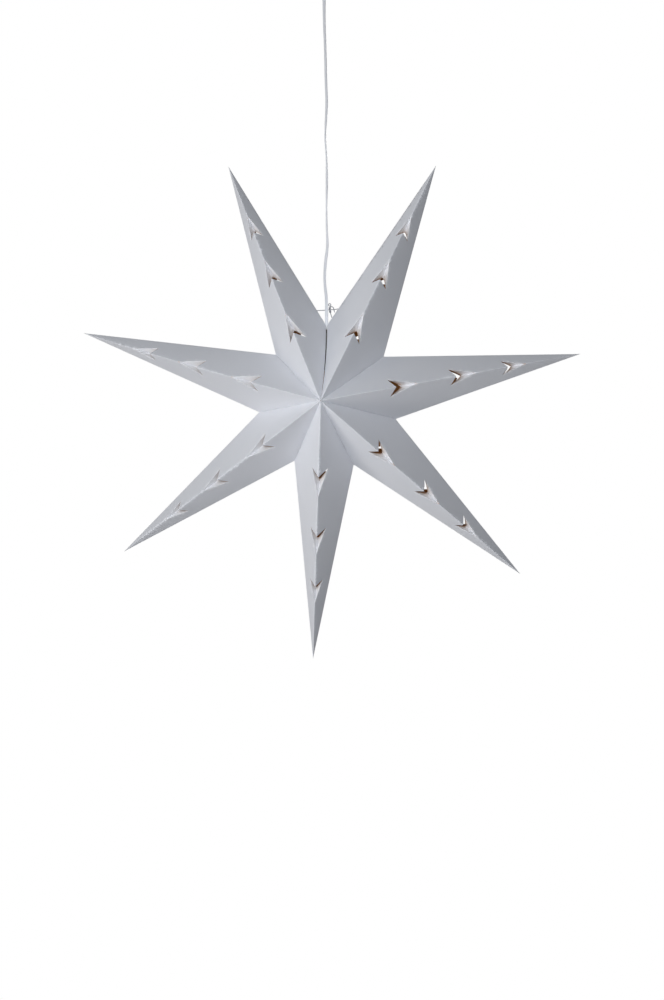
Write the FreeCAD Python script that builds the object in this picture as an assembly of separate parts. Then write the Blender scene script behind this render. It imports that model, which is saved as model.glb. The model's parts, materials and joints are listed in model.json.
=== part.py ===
import FreeCAD, Part
import math
import os

# A seven-point folded card star that hangs, as a pendant lamp, by a thin flat
# twin cord from a round ceiling cup.  Millimetres and degrees.
# The origin is the ceiling: z = 0 is its underside, +Z points up, and the
# star's front faces -Y, with +X to its right.

Vec = FreeCAD.Vector
PARTS_FOLDER = "parts"

# ---------------------------------------------------------------- the star
POINTS = 7                # points of the star
TIP_R = 410.0             # star's centre to a tip
NOTCH_R = 111.0           # star's centre to the notch between two points
HALF_DEPTH = 105.0        # mid-plane to the front or the back apex
CARD = 0.5                # thickness of the card
STAR_ROLL = 3.14          # how far the star hangs turned, clockwise from the front

# The hand-folded card isn't quite even.  One value a point, or a notch, from
# the upper left point on, clockwise; notch 1, after it, is the open seam.
TIP_TURN = (-0.1, 3.6, 0.5, -0.2, -0.4, 0.3, -0.2)
TIP_LONGER = (-2.0, 0.0, -3.0, 1.0, 3.0, 0.0, 1.0)
NOTCH_TURN = (STAR_ROLL, 2.7, 1.7, 0.2, -0.7, -1.8, -1.3)
NOTCH_FURTHER = (12.0, 4.5, 2.0, -2.5, -3.5, -0.5, 1.0)

# Each ridge has three swallow-tail cuts.  A cut is a slit through the ridge,
# with a crease on each side from the slit's end to a place further out on the
# ridge, and the two flaps between are pressed in.
# (apex to slit, slit's ends lie back by, ends lie off the ridge by, flap's length)
CUTS = (
    (119.5, 7.5, 24.3, 36.0),
    (216.0, 6.2, 23.6, 34.0),
    (300.0, 5.0, 19.7, 31.0),
)
SLIT_OUT = (-0.5, -0.5, 0.8, 1.0, 3.0, 1.0, 0.2)  # a point's slits cross its ridge further out by

WEB_WIDTH = 9.0           # glued-together edge flaps inside each notch
WEB_START = 0.24          # share of the notch line that is bare near the apex
SEAM_GAP = 2.4            # the open seam's width at its notch

# ---------------------------------------------------------------- the cord
CORD_WIDTH = 5.2          # the flat twin cord is this wide, and it twists
CORD_PLAY = 0.5           # room round the cord in the star's seam
CORE_R = 1.0              # one insulated core
CORE_APART = 2.6          # between the two cores
DROP = 746.0              # ceiling to the star's centre
STAR_X = 0.6              # star's centre, right of the outlet: its weight hangs plumb
BEND_LENGTH = 12.0        # short top length of cord, where it bends
BEND_GAP = 0.3            # between the rounded bend and the cord on each side

# The hanging cord's slight waves: height above the star's centre, and sideways.
CORD_WAVES = (
    (604.0, -0.9), (556.0, 0.9), (508.0, 1.3), (474.0, 2.8), (446.0, 1.0),
    (418.0, -0.7), (392.0, 1.6), (352.0, 2.1), (308.0, 0.9), (272.0, 1.3),
    (248.0, 2.7), (226.0, -0.9), (194.0, -3.3), (166.0, 0.2), (138.0, 0.0),
)

# ---------------------------------------------------------------- the tie string
STRING_R = 0.55           # soft string that ties the seam shut
TIE_UP = 27.5             # from the notch along the two side edges to its holes
TIE_HOLE_R = 1.2         # hole through the card
STRING_INSIDE = 4.0       # a strand runs on this far behind its hole, to its stopper
STOPPER_R = 1.65          # knot inside the star that keeps a strand in its hole
KNOT = (5.5, 4.8, 149.0)  # the knot, from the star's centre
KNOT_R = 1.9
LOOP_R = 2.4              # small loop above the knot
# The string's two loose ends, as routes from the knot.
UPPER_END = ((1.7, 0.8, 0.9), (4.2, 1.2, 0.2), (6.4, 1.2, -2.4), (7.7, 1.0, -8.0))
LOWER_END = ((0.6, 0.6, -1.6), (0.7, 0.8, -7.2), (3.2, 0.8, -14.4))

# ---------------------------------------------------------------- the lamp holder
CAP_R = 13.0              # shoulder that the star's seam rests on
CAP_TOP_R = 5.6
CAP_SKIRT = 22.0          # shoulder to the cap's lower edge
HOLDER_WALL = 2.0
HOLDER_R = 13.8           # body that carries the bulb
HOLDER_LENGTH = 34.0
LIP = 4.0                 # inner lip under the insert
LIP_R = 9.0
INSERT_R = 10.5
INSERT_LENGTH = 24.0
INSERT_TOP = 5.0          # solid top of the insert
SEAT_GAP = 0.4            # star's keel over the cap, upright
CORD_HOLE_PLAY = 0.15     # cord in the cap's and the ceiling grip's holes
CLAMP = (14.0, 6.3, 5.0)  # each half of the cord clamp: wide, deep, high
CLAMP_HALF_GAP = 0.3      # from a jaw to the clamp's middle
CLAMP_SCREW_X = 5.0       # the clamp's screws stand this far off the cord
TERMINAL = (5.0, 6.0, 5.0)
TERMINAL_APART = 11.0
SMALL_SCREW_R = 1.2
SMALL_HEAD_R = 2.1
SMALL_HEAD_H = 1.2
SPRING_SHEET = 0.4        # centre contact's bent strip
SPRING_DIP = 1.2          # its middle stands this far below its ends
SPRING_WIDTH = 3.0
SPRING_STEPS = (1.0, 3.0, 4.5)  # its flat middle, its bend and its end, off the axis

# ---------------------------------------------------------------- the bulb
THREAD_R = 6.9            # the bulb's cap over its thread, which is left smooth
THREAD_PLAY = 0.1         # between the thread and the holder's shell
SHELL_WALL = 0.35
SHELL_LENGTH = 16.0
BULB_LENGTH = 78.0
GLOBE_R = 22.5
GLASS = 0.6
NECK_R = 6.4
CONTACT_R = 2.4
CONTACT_H = 1.4
INSULATOR_H = 2.8
BULB_CAP_LENGTH = 17.0
CONTACT_GAP = 0.2         # bulb's contact under the holder's spring
BULB_CAP_WALL = 0.3
BULB_CAP_SLOPE = 1.2      # its top edge slopes in by this much
BULB_CAP_FLARE = 1.0      # and its lower edge flares out by this much
NECK_SHARE = 0.55         # share of the bulb's cap that the glass neck fills
STEM_R = 1.8
FILAMENTS = 4
FILAMENT_R = 0.9
FILAMENT_LENGTH = 22.0
FILAMENT_RING = 6.0       # the filaments stand on this radius
LEAD_R = 0.3
LOW_LEAD_R = 0.5

# ---------------------------------------------------------------- the ceiling cup
CUP_R = 45.0
CUP_HEIGHT = 58.0
CUP_WALL = 2.0
CUP_ROUND = 12.0
STRAP_WIDTH = 18.0
STRAP = 1.5               # bracket's sheet
EAR_DROP = 14.0
EAR_GAP = 0.3             # ear inside the cup's wall
SLOT_APART = 60.0         # ceiling screw slots
SLOT_R = 2.6
SLOT_LENGTH = 12.0
SIDE_SCREW_Z = -8.5
SIDE_SCREW_R = 2.0
SCREW_PLAY = 0.1
HEAD_R = 3.6
HEAD_H = 2.2

GRIP_THREAD_R = 4.9
GRIP_FLANGE_R = 9.0
GRIP_FLANGE = 4.0
GRIP_R = 6.5
GRIP_LENGTH = 16.0        # below its flange
GRIP_ABOVE = 8.0          # above the cup's floor
GRIP_MOUTH_R = 4.4
NUT_R = 8.0
NUT_H = 4.0
GRUB_R = 1.5

BLOCK = (16.0, 18.0, 13.0)
BLOCK_X = 13.0
POLE_APART = 9.0
SLEEVE_R = 2.4
SLEEVE_BORE_R = 1.5
SHEATH_TOP_Z = -40.0      # where the cord's sheath ends in the cup


# ================================================================ helpers
def save(name, solids):
    """Write one node, of one solid or of a group of them."""
    solids = solids if isinstance(solids, list) else [solids]
    shape = solids[0] if len(solids) == 1 else Part.makeCompound(solids)
    shape.exportStep(os.path.join(PARTS_FOLDER, name + ".step"))


def cylinder(radius, start, end):
    return Part.makeCylinder(radius, (end - start).Length, start, end - start)


def box(size, centre):
    """A box by its size and its centre."""
    corner = centre - Vec(size[0] / 2, size[1] / 2, size[2] / 2)
    return Part.makeBox(size[0], size[1], size[2], corner)


def lathe(profile, x=0.0):
    """Turn an outline of (radius, z) points about the upright axis at x."""
    corners = [Vec(x + r, 0, z) for r, z in profile]
    face = Part.Face(Part.makePolygon(corners + corners[:1]))
    return face.revolve(Vec(x, 0, 0), Vec(0, 0, 1), 360)


def tube_between(outer, inner, z_low, z_high, x=0.0):
    return lathe([(inner, z_low), (outer, z_low), (outer, z_high), (inner, z_high)], x)


def solid_of(faces):
    solid = Part.Solid(Part.Shell(faces))
    if solid.Volume < 0:
        solid.reverse()
    return solid


def polygon_face(corners):
    return Part.Face(Part.makePolygon(corners + corners[:1]))


def routed(name, points, radius):
    """A tube along straight runs, with one tangent arc at each inner point."""
    edges = []
    radii = []
    start = points[0]
    for before, here, after in zip(points, points[1:], points[2:]):
        run_in = here - before
        run_out = after - here
        half_turn = run_in.getAngle(run_out) / 2
        arc_r = 0.45 * min(run_in.Length, run_out.Length) / math.tan(half_turn)
        radii.append(arc_r)
        cut_back = arc_r * math.tan(half_turn)
        towards = Vec(run_in).normalize()
        away = Vec(run_out).normalize()
        arc_start = here - towards * cut_back
        arc_end = here + away * cut_back
        inward = (away - towards).normalize()
        middle = here + inward * (arc_r / math.cos(half_turn) - arc_r)
        edges.append(Part.LineSegment(start, arc_start).toShape())
        edges.append(Part.Arc(arc_start, middle, arc_end).toShape())
        start = arc_end
    edges.append(Part.LineSegment(start, points[-1]).toShape())
    path = Part.Wire(edges)
    first_run = points[1] - points[0]
    ring = Part.Wire([Part.Circle(points[0], first_run, radius).toShape()])
    tube = path.makePipeShell([ring], True, False)
    expected = math.pi * radius ** 2 * path.Length
    print("%s: length %.1f, volume ratio %.4f, least radius %.1f" % (
        name, path.Length, tube.Volume / expected, min(radii) if radii else 0))
    return tube


def capsule(radius, high, low):
    """A short round length with ball ends, centred at its two joints."""
    shape = cylinder(radius, low, high)
    for joint in (high, low):
        shape = shape.fuse(Part.makeSphere(radius, joint))
    return shape.removeSplitter()


# ================================================================ the star
CENTRE = Vec(STAR_X, 0, -DROP)


def on_star(radius, angle):
    """A place on the star's mid-plane, by angle from +X towards +Z."""
    turn = math.radians(angle)
    return CENTRE + Vec(radius * math.cos(turn), 0, radius * math.sin(turn))


def tip(i):
    even = 90 + 180 / POINTS - STAR_ROLL - i * 360 / POINTS
    return on_star(TIP_R + TIP_LONGER[i], even + TIP_TURN[i])


def notch(i):
    """Notch i lies after point i, clockwise; notch 0 is the seam."""
    even = 90 - STAR_ROLL - i * 360 / POINTS
    return on_star(NOTCH_R + NOTCH_FURTHER[i], even + NOTCH_TURN[i])


def apex(side):
    """The front apex for side -1, the back one for +1."""
    return CENTRE + Vec(0, side * HALF_DEPTH, 0)


def inner_scale(corners):
    """How much the card's inner face is smaller than its outer face."""
    normal = (corners[1] - corners[0]).cross(corners[2] - corners[0]).normalize()
    distance = abs(normal.dot(corners[0] - CENTRE))
    return 1 - CARD / distance


class Panel:
    """One flat card panel: its ridge runs from an apex to a tip."""

    def __init__(self, side, tip_at, notch_at, slit_out):
        self.apex = apex(side)
        self.tip = tip_at
        self.notch = notch_at
        self.ridge = (tip_at - self.apex).normalize()
        reach = notch_at - self.apex
        self.off = (reach - self.ridge * reach.dot(self.ridge)).normalize()
        self.slit_out = slit_out

    def cut_corners(self, cut):
        at, back, off, length = cut
        slit = self.apex + self.ridge * (at + self.slit_out)
        end = self.apex + self.ridge * (at - back) + self.off * off
        far = self.apex + self.ridge * (at + length)
        return slit, end, far

    def plate(self):
        """The card, with its cuts; every edge is mitred towards the centre."""
        outline = [self.apex]
        for cut in CUTS:
            outline.extend(self.cut_corners(cut))
        outline.extend([self.tip, self.notch])
        scale = inner_scale([self.apex, self.tip, self.notch])
        inner = [CENTRE + (p - CENTRE) * scale for p in outline]
        count = len(outline)
        faces = [polygon_face(outline), polygon_face(inner)]
        for k in range(count):
            n = (k + 1) % count
            faces.append(polygon_face([outline[k], outline[n], inner[n], inner[k]]))
        return solid_of(faces)


def mirrored(point, normal, foot):
    return point - normal * (2 * normal.dot(point - foot))


def flap(panel, cut, pressed, normal):
    """One pressed-in half of a cut, as a thin plate behind its white face."""
    slit, end, far = panel.cut_corners(cut)
    flat = (end - far).cross(slit - far).normalize()
    outward = panel.apex - CENTRE
    flat = flat if flat.dot(outward) > 0 else flat * -1
    behind = flat - normal * (2 * normal.dot(flat))
    return polygon_face([far, end, pressed]).extrude(behind * CARD)


def flaps(left, right, plates):
    """All the pressed-in flaps of one ridge."""
    made = []
    for cut in CUTS:
        slit, left_end, far = left.cut_corners(cut)
        right_end = right.cut_corners(cut)[1]
        normal = (left_end - far).cross(right_end - far).normalize()
        pressed = mirrored(slit, normal, far)
        first = flap(left, cut, pressed, normal)
        second = flap(right, cut, pressed, normal).cut(first)
        for one in (first, second):
            for plate in plates:
                one = one.cut(plate)
            made.append(max(one.Solids, key=lambda s: s.Volume))
    return made


def star_point(i):
    """Point i: four panels and the flaps of its front and back ridges."""
    before = notch(i - 1)
    after = notch(i)
    if i == 1:
        before = before + Vec(SEAM_GAP / 2, 0, 0)
    if i == 0:
        after = after - Vec(SEAM_GAP / 2, 0, 0)
    solids = []
    for side in (-1, 1):
        left = Panel(side, tip(i), before, SLIT_OUT[i])
        right = Panel(side, tip(i), after, SLIT_OUT[i])
        plates = [left.plate(), right.plate()]
        pressed = flaps(left, right, plates)
        if i in (0, 1):
            plates = [seam_side(plate) for plate in plates]
        solids.extend(plates + pressed)
    return solids


def tie_hole(i):
    """Where the string passes the side edge of a point next to the seam."""
    edge_start = notch(0) + Vec((i - 0.5) * SEAM_GAP, 0, 0)
    return edge_start + (tip(i) - edge_start).normalize() * TIE_UP


def seam_side(plate):
    """Open the seam's notch round the cord, and pierce the string's holes."""
    seam = notch(0)
    room = CORD_WIDTH / 2 + CORD_PLAY
    plate = plate.cut(cylinder(room, seam - Vec(0, 0, 4 * room), seam + Vec(0, 0, 8 * room)))
    reach = Vec(8 * TIE_HOLE_R, 0, 0)
    for i in (0, 1):
        hole = tie_hole(i)
        plate = plate.cut(cylinder(TIE_HOLE_R, hole - reach, hole + reach))
    return plate


def glue_web(i):
    """The glued edge flaps inside notch i, a front and a back strip."""
    strips = []
    for side in (-1, 1):
        scale = inner_scale([apex(side), tip(i), notch(i)])
        scale = min(scale, inner_scale([apex(side), tip((i + 1) % POINTS), notch(i)]))
        outer = CENTRE + (notch(i) - CENTRE) * scale
        peak = CENTRE + (apex(side) - CENTRE) * scale
        along = (peak - outer).normalize()
        radial = (outer - CENTRE).normalize()
        inward = (along * along.dot(radial) - radial).normalize()
        run = (peak - outer).Length
        lean = WEB_WIDTH * outer.distanceToPoint(CENTRE) / peak.distanceToPoint(CENTRE)
        bare = run * (1 - WEB_START)
        corners = [
            outer,
            outer + along * bare,
            outer + along * (bare - WEB_WIDTH) + inward * WEB_WIDTH,
            outer + along * lean + inward * WEB_WIDTH,
        ]
        across = along.cross(inward).normalize() * CARD
        face = polygon_face([p - across for p in corners])
        strips.append(face.extrude(across * 2))
    return strips


def keel_height(out):
    """Height of the seam's inner keel, this far out in front of the cord."""
    scale = min(inner_scale([apex(-1), tip(i), notch(0)]) for i in (0, 1))
    top = (notch(0) - CENTRE).Length * scale
    return CENTRE.z + top * (1 - out / (HALF_DEPTH * scale))


# ================================================================ the string
def tie_string():
    knot = CENTRE + Vec(*KNOT)
    strands = []
    for hole in (tie_hole(0), tie_hole(1)):
        outwards = (hole - knot).normalize()
        start = knot + outwards * KNOT_R * 0.8
        level = Vec(outwards.x, 0, outwards.z).normalize()
        stop = hole + level * STRING_INSIDE
        strand = cylinder(STRING_R, start, hole).fuse(Part.makeSphere(STRING_R, hole))
        strand = strand.fuse(cylinder(STRING_R, hole, stop)).fuse(Part.makeSphere(STOPPER_R, stop))
        strands.append(strand.removeSplitter())
    for name, end in (("upper string end", UPPER_END), ("lower string end", LOWER_END)):
        strands.append(routed(name, [knot + Vec(*place) for place in end], STRING_R))
    solid_knot = Part.makeSphere(KNOT_R, knot)
    loop_at = knot + Vec(0, 0, KNOT_R + LOOP_R)
    loop = Part.makeTorus(LOOP_R, STRING_R, loop_at, Vec(0, 1, 0))
    solid_knot = solid_knot.fuse(loop).removeSplitter()
    strands = [strand.cut(solid_knot) for strand in strands]
    strands = [max(strand.Solids, key=lambda s: s.Volume) for strand in strands]
    save("tie_string", strands)
    save("tie_knot", solid_knot)


# ================================================================ ceiling fitting
STRAP_HALF = CUP_R - CUP_WALL - EAR_GAP
GRIP_TOP_Z = -CUP_HEIGHT + CUP_WALL + GRIP_ABOVE
FLANGE_Z = -CUP_HEIGHT - GRIP_FLANGE
MOUTH_Z = FLANGE_Z - GRIP_LENGTH
CORD_R = CORD_WIDTH / 2
PIVOT_HIGH = Vec(0, 0, MOUTH_Z - 1.5)
PIVOT_LOW = PIVOT_HIGH - Vec(0, 0, BEND_LENGTH)


def side_screw_axis(side):
    return Vec(side * STRAP_HALF, 0, SIDE_SCREW_Z), Vec(side, 0, 0)


def ceiling_bracket():
    strap = box((2 * STRAP_HALF, STRAP_WIDTH, STRAP), Vec(0, 0, -STRAP / 2))
    for side in (-1, 1):
        ear_x = side * (STRAP_HALF - STRAP / 2)
        ear = box((STRAP, STRAP_WIDTH, EAR_DROP), Vec(ear_x, 0, -EAR_DROP / 2))
        strap = strap.fuse(ear)
        at, out = side_screw_axis(side)
        strap = strap.cut(cylinder(SIDE_SCREW_R + SCREW_PLAY / 2, at - out * 5, at + out * 5))
        slot_x = side * SLOT_APART / 2
        straight = SLOT_LENGTH - 2 * SLOT_R
        slot = box((straight, 2 * SLOT_R, 4 * STRAP), Vec(slot_x, 0, 0))
        for end in (-1, 1):
            foot = Vec(slot_x + end * straight / 2, 0, -2 * STRAP)
            slot = slot.fuse(Part.makeCylinder(SLOT_R, 4 * STRAP, foot))
        strap = strap.cut(slot)
    screw_hole = Part.makeCylinder(GRUB_R + SCREW_PLAY, 4 * STRAP, Vec(BLOCK_X, 0, -2 * STRAP))
    round_ends = Part.makeCylinder(STRAP_HALF, EAR_DROP, Vec(0, 0, -EAR_DROP))
    save("ceiling_bracket", strap.cut(screw_hole).common(round_ends).removeSplitter())


def canopy_cup():
    low = Vec(0, 0, -CUP_HEIGHT)
    floor = low + Vec(0, 0, CUP_WALL)
    outer = Part.makeCylinder(CUP_R, CUP_HEIGHT, low)
    rim = [e for e in outer.Edges if e.BoundBox.ZMax < low.z + CUP_WALL / 2]
    outer = outer.makeFillet(CUP_ROUND, rim)
    inner = Part.makeCylinder(CUP_R - CUP_WALL, CUP_HEIGHT, floor)
    rim = [e for e in inner.Edges if e.BoundBox.ZMax < floor.z + CUP_WALL / 2]
    inner = inner.makeFillet(CUP_ROUND - CUP_WALL, rim)
    grip_hole = cylinder(GRIP_THREAD_R + SCREW_PLAY, low - Vec(0, 0, CUP_WALL), floor + Vec(0, 0, CUP_WALL))
    cup = outer.cut(inner).cut(grip_hole)
    screws = []
    for side in (-1, 1):
        at, out = side_screw_axis(side)
        cup = cup.cut(cylinder(SIDE_SCREW_R + 2 * SCREW_PLAY, at, at + out * 10))
        seat = Vec(side * CUP_R, 0, SIDE_SCREW_Z)
        shank = cylinder(SIDE_SCREW_R, at - out * (STRAP + 2), seat + out * 0.5)
        head = cylinder(HEAD_R, seat, seat + out * HEAD_H)
        rim = [e for e in head.Edges if abs(e.CenterOfMass.x) > CUP_R + HEAD_H / 2 and e.Closed]
        head = head.makeChamfer(HEAD_H / 4, rim)
        screws.append(shank.fuse(head.cut(outer)).removeSplitter())
    save("canopy_cup", cup)
    save("canopy_side_screws", screws)


def terminal_block():
    block_z = -STRAP - BLOCK[2] / 2
    block = box(BLOCK, Vec(BLOCK_X, 0, block_z))
    sleeves, screws = [], []
    wire_z = -STRAP - 6.0
    for side in (-1, 1):
        pole_y = side * POLE_APART / 2
        start = Vec(BLOCK_X - BLOCK[0] / 2, pole_y, wire_z)
        end = Vec(BLOCK_X + BLOCK[0] / 2, pole_y, wire_z)
        block = block.cut(cylinder(SLEEVE_R, start, end))
        sleeve = cylinder(SLEEVE_R, start + Vec(1, 0, 0), end - Vec(1, 0, 0))
        sleeve = sleeve.cut(cylinder(SLEEVE_BORE_R, start, end))
        for step in (-1, 1):
            screw_x = BLOCK_X + step * BLOCK[0] / 4
            foot = Vec(screw_x, pole_y, -STRAP - BLOCK[2] + 1)
            hole = cylinder(GRUB_R, foot - Vec(0, 0, 2), Vec(screw_x, pole_y, wire_z))
            block = block.cut(hole)
            sleeve = sleeve.cut(hole)
            tip_at = Vec(screw_x, pole_y, wire_z - SLEEVE_BORE_R)
            screws.append(cylinder(GRUB_R - SCREW_PLAY / 2, foot, tip_at))
        sleeves.append(sleeve)
    low = Vec(BLOCK_X, 0, -STRAP - BLOCK[2])
    fixing = cylinder(GRUB_R, low, Vec(BLOCK_X, 0, -SCREW_PLAY))
    fixing_head = cylinder(2 * GRUB_R, low - Vec(0, 0, GRUB_R), low)
    block = block.cut(cylinder(GRUB_R + SCREW_PLAY, low, Vec(BLOCK_X, 0, 0)))
    save("terminal_block", block)
    save("terminal_sleeves", sleeves)
    save("terminal_screws", screws)
    save("block_screw", fixing_head.fuse(fixing).removeSplitter())
    return wire_z


def cord_grip():
    bore = CORD_R + CORD_HOLE_PLAY
    profile = [
        (bore, GRIP_TOP_Z), (GRIP_THREAD_R, GRIP_TOP_Z), (GRIP_THREAD_R, -CUP_HEIGHT),
        (GRIP_FLANGE_R, -CUP_HEIGHT), (GRIP_FLANGE_R, FLANGE_Z + 1), (GRIP_FLANGE_R - 1, FLANGE_Z),
        (GRIP_R, FLANGE_Z), (GRIP_R - 0.8, MOUTH_Z + 0.6), (GRIP_R - 1.4, MOUTH_Z),
        (GRIP_MOUTH_R, MOUTH_Z), (bore, MOUTH_Z + 4),
    ]
    grip = lathe(profile)
    screw_z = (FLANGE_Z + MOUTH_Z) / 2 + 1
    inner_end = Vec(0, CORD_R, screw_z)
    hole = cylinder(GRUB_R + SCREW_PLAY / 2, Vec(0, 0, screw_z), Vec(0, 2 * GRIP_R, screw_z))
    save("cord_grip", grip.cut(hole))
    grub = cylinder(GRUB_R, inner_end, Vec(0, GRIP_R - 0.4, screw_z))
    save("cord_grip_screw", grub)
    nut_z = -CUP_HEIGHT + CUP_WALL
    corners = []
    for k in range(6):
        turn = math.radians(60 * k)
        corners.append(Vec(NUT_R * math.cos(turn), NUT_R * math.sin(turn), nut_z))
    nut = polygon_face(corners).extrude(Vec(0, 0, NUT_H))
    save("cord_grip_nut", nut.cut(cylinder(GRIP_THREAD_R, Vec(0, 0, nut_z), Vec(0, 0, nut_z + NUT_H))))
    return grub


def cord_in_cup(wire_z, grub):
    """The cord's fixed end, gripped in the cup, and its cores to the block."""
    sheath = cylinder(CORD_R, PIVOT_HIGH, Vec(0, 0, SHEATH_TOP_Z))
    sheath = sheath.cut(Part.makeSphere(CORD_R + BEND_GAP, PIVOT_HIGH)).cut(grub)
    save("cord_in_cup", sheath)
    entry = BLOCK_X - BLOCK[0] / 2
    cores = []
    for side in (-1, 1):
        first = side * CORE_APART / 2
        pole = side * POLE_APART / 2
        route = [
            Vec(0, first, SHEATH_TOP_Z), Vec(0, first, SHEATH_TOP_Z + 8),
            Vec(-5, side * 3.4, SHEATH_TOP_Z + 18), Vec(-5, pole, wire_z), Vec(entry + 2, pole, wire_z),
        ]
        cores.append(routed("core in cup", route, CORE_R))
    save("cores_in_cup", cores)


# ================================================================ cord and lamp set
CAP_SHOULDER_Z = keel_height(CAP_R) - SEAT_GAP
CAP_TOP_Z = keel_height(CAP_TOP_R) - SEAT_GAP
CAP_LOW_Z = CAP_SHOULDER_Z - CAP_SKIRT
HOLDER_LOW_Z = CAP_LOW_Z - HOLDER_LENGTH
INSERT_LOW_Z = HOLDER_LOW_Z + LIP
INSERT_TOP_Z = INSERT_LOW_Z + INSERT_LENGTH
SPRING_Z = INSERT_TOP_Z - INSERT_TOP
SHEATH_LOW_Z = CAP_SHOULDER_Z - 12.5
SHELL_IN_R = THREAD_R + THREAD_PLAY
SHELL_OUT_R = SHELL_IN_R + SHELL_WALL


def on_lamp(x, y, z):
    return Vec(STAR_X + x, y, z)


def supply_cord():
    route = [PIVOT_LOW]
    route.extend(CENTRE + Vec(x, 0, height) for height, x in CORD_WAVES)
    route.append(on_lamp(0, 0, CAP_TOP_Z))
    cord = routed("supply cord", route, CORD_R)
    cord = cord.cut(Part.makeSphere(CORD_R + BEND_GAP, PIVOT_LOW))
    save("supply_cord", cord)
    save("upper_cord", capsule(CORD_R, PIVOT_HIGH, PIVOT_LOW))


def holder():
    wall = HOLDER_WALL
    hole = CORD_R + CORD_HOLE_PLAY
    cap = lathe([
        (hole, CAP_TOP_Z), (CAP_TOP_R, CAP_TOP_Z), (CAP_R, CAP_SHOULDER_Z), (CAP_R, CAP_LOW_Z),
        (CAP_R - wall, CAP_LOW_Z), (CAP_R - wall, CAP_SHOULDER_Z - 1),
        (CAP_TOP_R, CAP_TOP_Z - 1.5 * wall), (hole, CAP_TOP_Z - 1.5 * wall),
    ], STAR_X)
    save("holder_cap", cap)
    inner = HOLDER_R - wall * 1.5
    body = lathe([
        (inner, CAP_LOW_Z), (HOLDER_R - 0.4, CAP_LOW_Z), (HOLDER_R, CAP_LOW_Z - 0.8),
        (HOLDER_R, HOLDER_LOW_Z + 1.5), (HOLDER_R - 1, HOLDER_LOW_Z), (LIP_R, HOLDER_LOW_Z),
        (LIP_R, INSERT_LOW_Z), (inner, INSERT_LOW_Z),
    ], STAR_X)
    save("holder_body", body)
    insert = tube_between(INSERT_R, SHELL_OUT_R, INSERT_LOW_Z, SPRING_Z, STAR_X)
    insert = insert.fuse(cylinder(INSERT_R, on_lamp(0, 0, SPRING_Z), on_lamp(0, 0, INSERT_TOP_Z)))
    save("holder_insert", insert.removeSplitter())
    shell_low = SPRING_Z - 2 - SHELL_LENGTH
    shell = tube_between(SHELL_OUT_R, SHELL_IN_R, shell_low, shell_low + SHELL_LENGTH, STAR_X)
    save("holder_screw_shell", shell)


def centre_spring():
    """A strip under the insert's top, bent down in its middle to the bulb."""
    middle, bend, end = SPRING_STEPS
    upper = [(end, 0), (bend, 0), (middle, -SPRING_DIP)]
    upper.extend([(-x, z) for x, z in reversed(upper)])
    lower = [(x, z - SPRING_SHEET) for x, z in reversed(upper)]
    front = -SPRING_WIDTH / 2
    strip = polygon_face([on_lamp(x, front, SPRING_Z + z) for x, z in upper + lower])
    save("holder_centre_spring", strip.extrude(Vec(0, SPRING_WIDTH, 0)))
    return SPRING_Z - SPRING_SHEET - SPRING_DIP


def cord_clamp():
    """Two grooved jaws in the cap hold the cord, with a screw on each side."""
    middle_z = SHEATH_LOW_Z + CLAMP[2] / 2 + 1
    groove = cylinder(CORD_R, on_lamp(0, 0, middle_z - CLAMP[2]), on_lamp(0, 0, middle_z + CLAMP[2]))
    depth = CLAMP[1] + CLAMP_HALF_GAP
    jaws = []
    for side in (-1, 1):
        jaw = box(CLAMP, on_lamp(0, side * (depth - CLAMP[1] / 2), middle_z)).cut(groove)
        for screw_x in (-CLAMP_SCREW_X, CLAMP_SCREW_X):
            front = on_lamp(screw_x, -depth, middle_z)
            back = on_lamp(screw_x, depth, middle_z)
            jaw = jaw.cut(cylinder(SMALL_SCREW_R + SCREW_PLAY / 2, front, back))
        jaws.append(jaw)
    save("cord_clamp", jaws)
    screws = []
    for screw_x in (-CLAMP_SCREW_X, CLAMP_SCREW_X):
        front = on_lamp(screw_x, -depth, middle_z)
        back = on_lamp(screw_x, CLAMP[1] - CLAMP_HALF_GAP, middle_z)
        screws.append(small_screw(front, back))
    save("cord_clamp_screws", screws)


def small_screw(seat, end):
    """A small screw whose head lies on seat."""
    head = cylinder(SMALL_HEAD_R, seat + (seat - end).normalize() * SMALL_HEAD_H, seat)
    return head.fuse(cylinder(SMALL_SCREW_R, seat, end)).removeSplitter()


def cord_end_in_holder():
    sheath = cylinder(CORD_R, on_lamp(0, 0, SHEATH_LOW_Z), on_lamp(0, 0, CAP_TOP_Z))
    save("cord_in_holder", sheath)
    cores, terminals, screws = [], [], []
    top_z = INSERT_TOP_Z + TERMINAL[2]
    for side in (-1, 1):
        near = side * CORE_APART / 2
        far = side * TERMINAL_APART / 2
        drop = SHEATH_LOW_Z - top_z
        route = [on_lamp(near, 0, SHEATH_LOW_Z), on_lamp(near, 0, SHEATH_LOW_Z - 0.25 * drop),
                 on_lamp(far, 0, top_z + 0.3 * drop), on_lamp(far, 0, top_z)]
        cores.append(routed("core in holder", route, CORE_R))
        middle = on_lamp(far, 0, top_z - TERMINAL[2] / 2)
        seat = middle - Vec(0, TERMINAL[1] / 2 + 1, 0)
        screw = small_screw(seat, middle)
        terminals.append(box(TERMINAL, middle).cut(screw))
        screws.append(screw)
    save("cores_in_holder", cores)
    save("holder_terminals", terminals)
    save("holder_terminal_screws", screws)


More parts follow.
